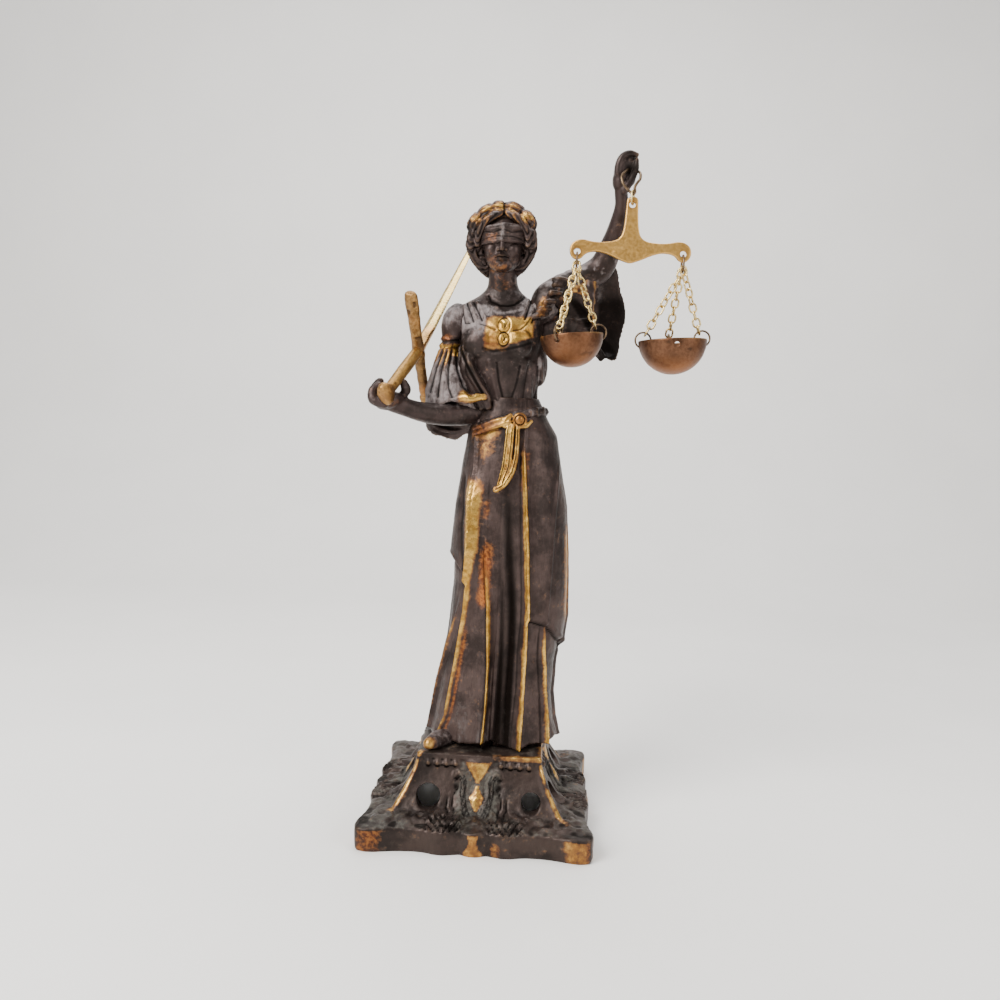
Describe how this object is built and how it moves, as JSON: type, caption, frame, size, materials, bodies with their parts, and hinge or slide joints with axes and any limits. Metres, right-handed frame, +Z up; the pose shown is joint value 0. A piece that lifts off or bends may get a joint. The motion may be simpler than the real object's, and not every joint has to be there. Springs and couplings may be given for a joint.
{
  "type": "lady justice statuette",
  "caption": "Cast brass statuette of a robed, blindfolded woman with a sword and hanging scales, on a pierced square foot; it stands on its underside.",
  "frame": {"origin": "middle of the object's box in X and Y, at the level of the surface it stands on", "axes": "+Z up from the surface to the raised hand; -Y is the side that the figure faces; +X is her left side, with the scales"},
  "size_m": [0.1438, 0.1042, 0.2965],
  "materials": {
    "foot_patina": "dark brown patina with polished edges and grey-green dirt in the recesses",
    "dark_patina": "dark mauve-brown patina, rubbed to satin brass on the ridges",
    "satin_brass": "satin cast brass with brown stains",
    "pale_gold": "bright pale brass",
    "pan_copper": "copper-brown patina, satin",
    "dark_wire": "dark tarnished wire"
  },
  "bodies": {
    "root": {"balance_beam": "satin_brass", "base": "foot_patina", "beam_link": "pale_gold", "beam_ring_left": "dark_wire", "beam_ring_right": "dark_wire", "chain_left_1": "pale_gold", "chain_left_2": "pale_gold", "chain_left_3": "pale_gold", "chain_right_1": "pale_gold", "chain_right_2": "pale_gold", "chain_right_3": "pale_gold", "figure": "dark_patina", "hanger_wire": "dark_wire", "pan_left": "pan_copper", "pan_right": "pan_copper", "pan_ring_left_1": "dark_wire", "pan_ring_left_2": "dark_wire", "pan_ring_left_3": "dark_wire", "pan_ring_right_1": "dark_wire", "pan_ring_right_2": "dark_wire", "pan_ring_right_3": "dark_wire", "sword": "satin_brass"}
  },
  "joints": []
}
